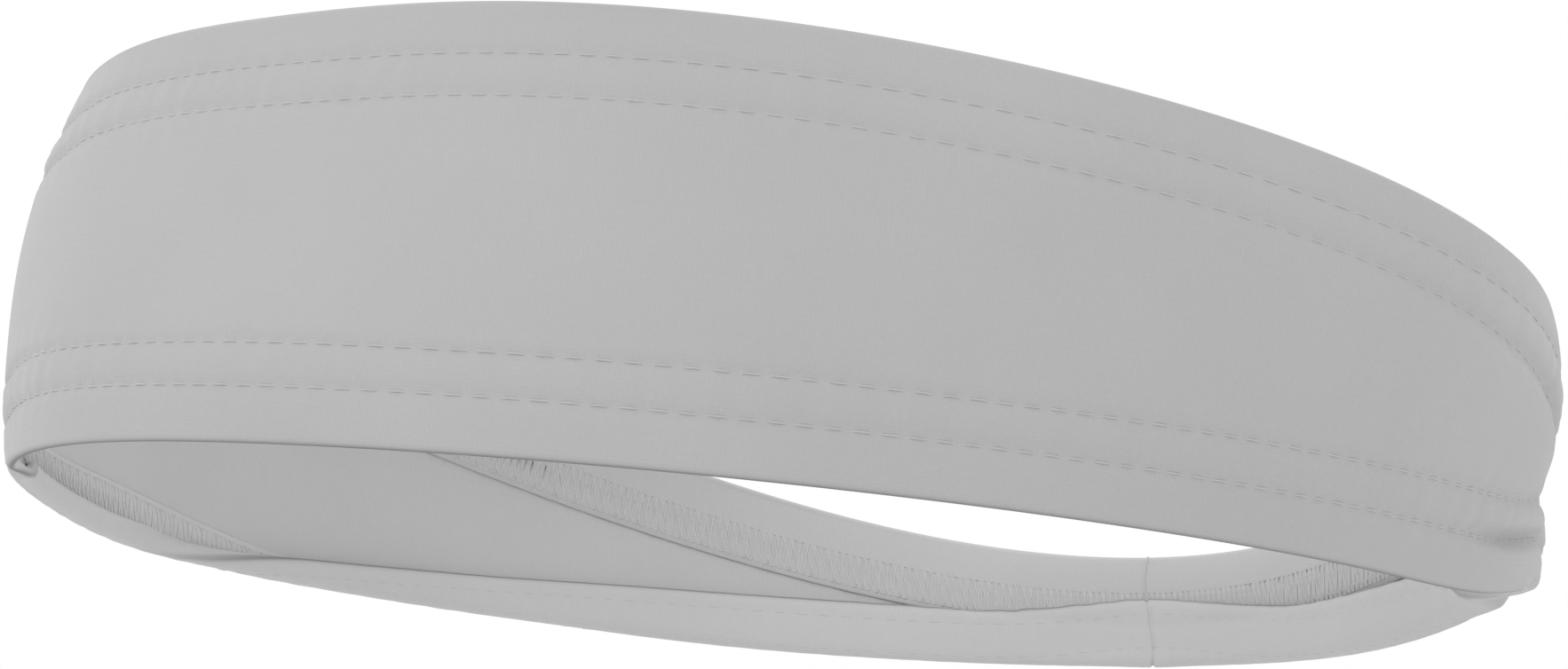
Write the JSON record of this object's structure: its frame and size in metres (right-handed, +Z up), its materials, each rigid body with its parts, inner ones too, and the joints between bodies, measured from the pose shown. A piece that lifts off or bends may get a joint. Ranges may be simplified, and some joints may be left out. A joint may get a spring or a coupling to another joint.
{
  "type": "sports headband",
  "caption": "Wide stretch headband for racket sports, tall over the forehead and low at the back, hemmed along both edges and seamed at the centre back.",
  "frame": {"origin": "on the surface the rim stands on, midway between the band's front and back and between its sides", "axes": "+Z up along the wearer's head, -Y towards the forehead, +Y towards the seam at the back of the head, +X the wearer's left"},
  "size_m": [0.1636, 0.1955, 0.047],
  "materials": {
    "jersey_face": "light grey polyester and spandex jersey, smooth face",
    "jersey_back": "light grey polyester and spandex jersey, looped back",
    "needle_thread": "matt spun polyester sewing thread, same grey as the cloth",
    "looper_thread": "soft textured polyester looper thread, a little lighter than the cloth"
  },
  "bodies": {
    "front": {"front_panel": "jersey_face", "front_top_hem": "jersey_back", "front_bottom_hem": "jersey_back", "front_top_needle_outer": "needle_thread", "front_top_needle_inner": "needle_thread", "front_top_looper": "looper_thread", "front_bottom_needle_outer": "needle_thread", "front_bottom_needle_inner": "needle_thread", "front_bottom_looper": "looper_thread"},
    "back": {"back_panel": "jersey_face", "back_top_hem": "jersey_back", "back_bottom_hem": "jersey_back", "back_turned_face": "jersey_face", "back_top_needle_outer": "needle_thread", "back_top_needle_inner": "needle_thread", "back_top_looper": "looper_thread", "back_bottom_needle_outer": "needle_thread", "back_bottom_needle_inner": "needle_thread", "back_bottom_looper": "looper_thread", "seam_allowance_left": "jersey_back", "seam_allowance_right": "jersey_back", "seam_thread": "needle_thread"}
  },
  "joints": [
    {"name": "loop_stretch", "type": "slide", "parent": "front", "child": "back", "axis": [0, 1, 0], "range_m": [0, 0.03], "stiffness_N_per_m": 250}
  ]
}
